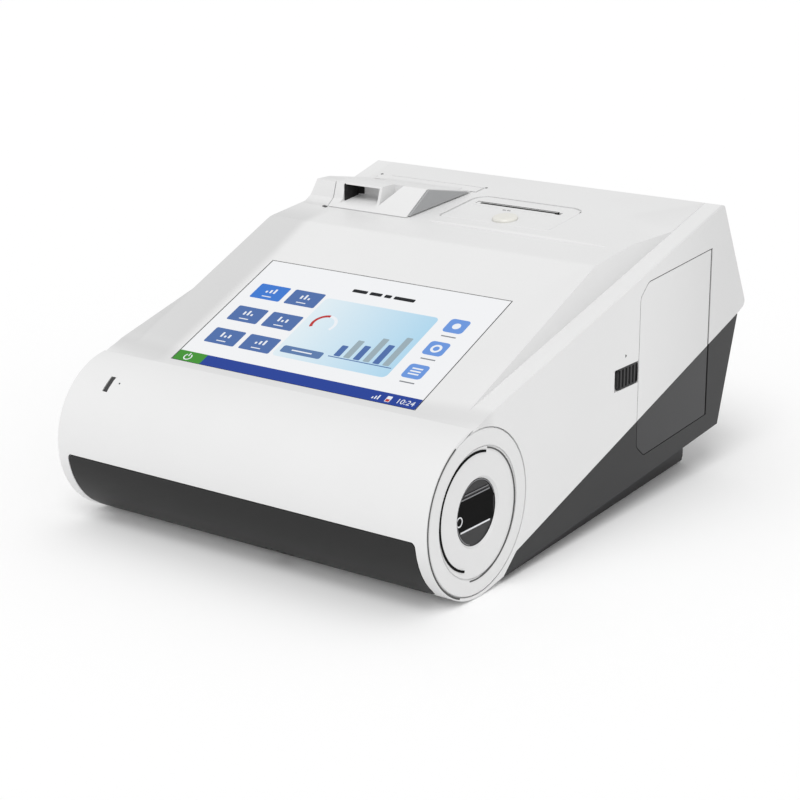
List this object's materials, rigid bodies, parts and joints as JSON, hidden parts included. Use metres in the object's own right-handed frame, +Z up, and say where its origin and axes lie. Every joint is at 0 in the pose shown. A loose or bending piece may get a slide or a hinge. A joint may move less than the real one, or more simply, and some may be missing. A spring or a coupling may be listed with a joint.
{
  "type": "portable blood gas analyzer",
  "caption": "Benchtop blood analyzer with a round front roll, tilted touch display, hooded card port, slot printer and a latched side door over its fluid pack.",
  "frame": {"origin": "on the table under the middle of the case", "axes": "+X to the operator's right, +Y to the rear, +Z up"},
  "size_m": [0.238, 0.315, 0.1563],
  "materials": {
    "shell_white": "fine satin",
    "cap_white": "fine satin",
    "button_cream": "smooth",
    "base_dark": "fine satin",
    "door_dark": "semi-gloss",
    "panel_dark": "fine satin",
    "trim_black": "smooth",
    "display_glass": "polished",
    "scanner_glass": "polished",
    "zinc_steel": "satin",
    "alloy": "satin",
    "foot_rubber": "matte",
    "circuit_board": "solder mask",
    "battery_wrap": "shrink film",
    "pack_case": "smooth",
    "hood_grey": "satin",
    "thermal_paper": "matte"
  },
  "bodies": {
    "case": {"upper_shell": "shell_white", "base_shell": "base_dark", "front_panel": "panel_dark", "right_disc_cap": "cap_white", "left_disc_cap": "cap_white", "scanner_window": "scanner_glass", "scanner_module": "trim_black", "touch_glass": "display_glass", "display_module": "alloy", "display_bracket": "zinc_steel", "indicator_lens": "trim_black", "speaker": "trim_black", "bay_liner": "base_dark", "fluid_pack": "pack_case", "pack_septum": "foot_rubber", "pump_housing": "trim_black", "pump_motor": "zinc_steel", "port_deck": "base_dark", "heater_plate": "alloy", "contact_block": "trim_black", "paper_bay": "base_dark", "thermal_head": "alloy", "main_board": "circuit_board", "heat_sink": "alloy", "battery_pack": "battery_wrap", "battery_cover": "base_dark", "network_port": "zinc_steel", "usb_port_1": "zinc_steel", "usb_port_2": "zinc_steel", "power_jack": "trim_black", "socket_panel": "panel_dark", "rubber_foot_1": "foot_rubber", "rubber_foot_2": "foot_rubber", "rubber_foot_3": "foot_rubber", "rubber_foot_4": "foot_rubber", "case_screw_1": "zinc_steel", "case_screw_2": "zinc_steel", "case_screw_3": "zinc_steel", "case_screw_4": "zinc_steel"},
    "side_door": {"door_upper": "shell_white", "door_lower": "door_dark", "door_carrier": "base_dark"},
    "latch": {"latch_slider": "base_dark"},
    "hood": {"hood_cover": "shell_white", "hood_side_plate": "hood_grey"},
    "printer_lid": {"printer_cover": "shell_white"},
    "button": {"release_button": "button_cream"},
    "paper": {"paper_roll": "thermal_paper", "paper_core": "pack_case"},
    "platen": {"platen_roller": "foot_rubber", "platen_gear": "pack_case"},
    "rotor": {"pump_rotor": "zinc_steel"}
  },
  "joints": [
    {"name": "side_door_hinge", "type": "hinge", "parent": "case", "child": "side_door", "pos_m": [0.1175, 0.1135, 0.08235], "axis": [0, 0, 1], "range_deg": [0, 100]},
    {"name": "latch_slide", "type": "slide", "parent": "case", "child": "latch", "axis": [0, -1, 0], "range_m": [0, 0.003], "stiffness_N_per_m": 150, "springref_m": -0.002},
    {"name": "hood_hinge", "type": "hinge", "parent": "case", "child": "hood", "pos_m": [-0.06, 0.10022, 0.1489], "axis": [-1, 0, 0], "range_deg": [0, 75]},
    {"name": "printer_lid_hinge", "type": "hinge", "parent": "case", "child": "printer_lid", "pos_m": [0.01775, 0.08764, 0.14722], "axis": [-1, 0, 0], "range_deg": [0, 60]},
    {"name": "button_press", "type": "slide", "parent": "printer_lid", "child": "button", "axis": [0, 0.1127, -0.9936], "range_m": [0, 0.0008], "stiffness_N_per_m": 400, "springref_m": -0.0008},
    {"name": "paper_spin", "type": "hinge", "parent": "case", "child": "paper", "pos_m": [0.01775, 0.0687, 0.12117], "axis": [1, 0, 0], "continuous": true},
    {"name": "platen_spin", "type": "hinge", "parent": "case", "child": "platen", "pos_m": [0.01775, 0.07976, 0.13903], "axis": [1, 0, 0], "continuous": true},
    {"name": "pump_spin", "type": "hinge", "parent": "case", "child": "rotor", "pos_m": [0.056, 0.0755, 0.07715], "axis": [1, 0, 0], "continuous": true}
  ],
  "couplings": [
    {"joint": "platen_spin", "follows": "paper_spin", "ratio": 4.1667}
  ]
}
